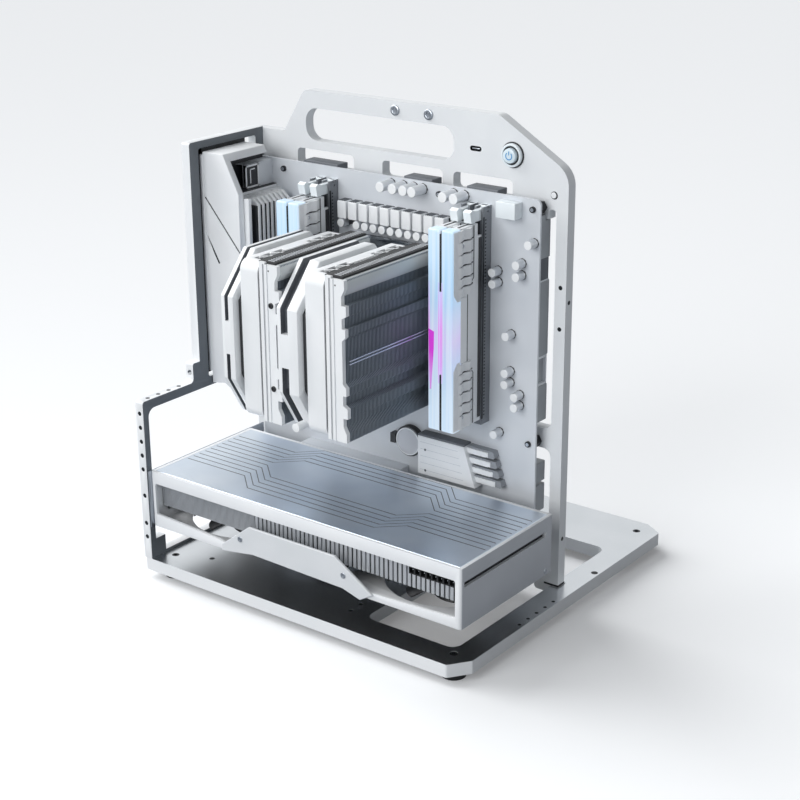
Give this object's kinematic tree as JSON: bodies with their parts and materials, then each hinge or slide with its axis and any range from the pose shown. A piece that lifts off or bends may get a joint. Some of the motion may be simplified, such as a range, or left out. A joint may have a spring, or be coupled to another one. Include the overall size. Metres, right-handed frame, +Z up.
{
  "type": "open air test bench",
  "caption": "Open-frame computer test bench: base plate, upright with carrying handle and stepped side frame, with main board, twin-tower cooler, memory and graphics card",
  "frame": {"origin": "centre of the bounding box on the floor plane under the feet", "axes": "+X right along the upright as seen from the front, +Y away from the viewer, +Z up"},
  "size_m": [0.27, 0.2566, 0.328],
  "materials": {
    "white_plate": "satin",
    "black_rubber": "matte",
    "steel_screw": "satin",
    "black_standoff": "satin",
    "turned_metal": "brushed",
    "white_cap": "gloss",
    "socket_metal": "satin",
    "white_board": "satin",
    "white_cover": "satin",
    "dark_ports": "matte",
    "bare_fins": "satin",
    "grey_choke": "matte",
    "can_metal": "satin",
    "white_socket": "matte",
    "cell_metal": "satin",
    "slate_cover": "satin",
    "nickel": "polished",
    "slate_fins": "satin",
    "white_fan": "satin",
    "light_bar": "gloss",
    "white_spreader": "satin",
    "grey_latch": "satin",
    "card_shell": "satin",
    "card_plate": "brushed",
    "card_fins": "satin",
    "black_socket": "matte",
    "dark_fan": "matte"
  },
  "bodies": {
    "bench": {"base_plate": "white_plate", "feet": "black_rubber", "foot_screws": "steel_screw", "frame_screws": "steel_screw", "upright_plate": "white_plate", "side_frame": "white_plate", "handle_screws": "steel_screw", "button_bezel": "turned_metal", "button_nut": "turned_metal", "usb_socket": "socket_metal", "standoffs": "black_standoff", "board_screws": "steel_screw", "motherboard": "white_board", "io_shroud": "white_cover", "io_ports": "dark_ports", "vrm_heatsink": "bare_fins", "power_chokes": "grey_choke", "capacitors": "can_metal", "board_connectors": "white_socket", "coin_cell": "cell_metal", "cell_holder": "dark_ports", "drive_cover": "slate_cover", "card_slot": "white_socket", "cpu_socket": "socket_metal", "processor": "nickel", "cooler_base": "nickel", "heat_pipes": "nickel", "cooler_screws": "steel_screw", "fan_gaskets": "black_rubber", "fin_stack_1": "slate_fins", "fin_stack_2": "slate_fins", "tower_cover_1": "white_cover", "tower_cover_2": "white_cover", "fan_frame_1": "white_fan", "fan_frame_2": "white_fan", "fan_bezel_1": "white_fan", "fan_bezel_2": "white_fan", "memory_sockets": "white_socket", "memory_boards": "white_board", "memory_spreaders": "white_spreader", "memory_light_bars": "light_bar", "card_shroud": "card_shell", "card_backplate": "card_plate", "card_fins": "card_fins", "card_connector": "black_socket", "card_circuit_board": "white_board", "card_badge": "card_shell", "badge_screws": "steel_screw", "card_bracket": "socket_metal"},
    "button": {"button_cap": "white_cap"},
    "rotor_1": {"fan_rotor_1": "white_fan"},
    "rotor_2": {"fan_rotor_2": "white_fan"},
    "card_rotor_1": {"card_fan_rotor_1": "dark_fan"},
    "card_rotor_2": {"card_fan_rotor_2": "dark_fan"},
    "card_rotor_3": {"card_fan_rotor_3": "dark_fan"},
    "latch_1": {"memory_latch_1": "grey_latch"},
    "latch_2": {"memory_latch_2": "grey_latch"},
    "latch_3": {"memory_latch_3": "grey_latch"},
    "latch_4": {"memory_latch_4": "grey_latch"}
  },
  "joints": [
    {"name": "button_press", "type": "slide", "parent": "bench", "child": "button", "axis": [0, 1, 0], "range_m": [0, 0.0015], "stiffness_N_per_m": 400, "springref_m": -0.0005},
    {"name": "cooler_fan_1", "type": "hinge", "parent": "bench", "child": "rotor_1", "pos_m": [-0.03015, -0.0781, 0.1932], "axis": [1, 0, 0], "continuous": true},
    {"name": "cooler_fan_2", "type": "hinge", "parent": "bench", "child": "rotor_2", "pos_m": [0.02285, -0.0781, 0.1932], "axis": [1, 0, 0], "continuous": true},
    {"name": "card_fan_1", "type": "hinge", "parent": "bench", "child": "card_rotor_1", "pos_m": [-0.0815, -0.07465, 0.0484], "axis": [0, 0, 1], "continuous": true},
    {"name": "card_fan_2", "type": "hinge", "parent": "bench", "child": "card_rotor_2", "pos_m": [0.0035, -0.07465, 0.0484], "axis": [0, 0, 1], "continuous": true},
    {"name": "card_fan_3", "type": "hinge", "parent": "bench", "child": "card_rotor_3", "pos_m": [0.0885, -0.07465, 0.0484], "axis": [0, 0, 1], "continuous": true},
    {"name": "memory_latch_1", "type": "hinge", "parent": "bench", "child": "latch_1", "pos_m": [-0.06665, -0.0111, 0.2716], "axis": [1, 0, 0], "range_deg": [-25, 0]},
    {"name": "memory_latch_2", "type": "hinge", "parent": "bench", "child": "latch_2", "pos_m": [-0.05635, -0.0111, 0.2716], "axis": [1, 0, 0], "range_deg": [-25, 0]},
    {"name": "memory_latch_3", "type": "hinge", "parent": "bench", "child": "latch_3", "pos_m": [0.05865, -0.0111, 0.2716], "axis": [1, 0, 0], "range_deg": [-25, 0]},
    {"name": "memory_latch_4", "type": "hinge", "parent": "bench", "child": "latch_4", "pos_m": [0.06895, -0.0111, 0.2716], "axis": [1, 0, 0], "range_deg": [-25, 0]}
  ]
}
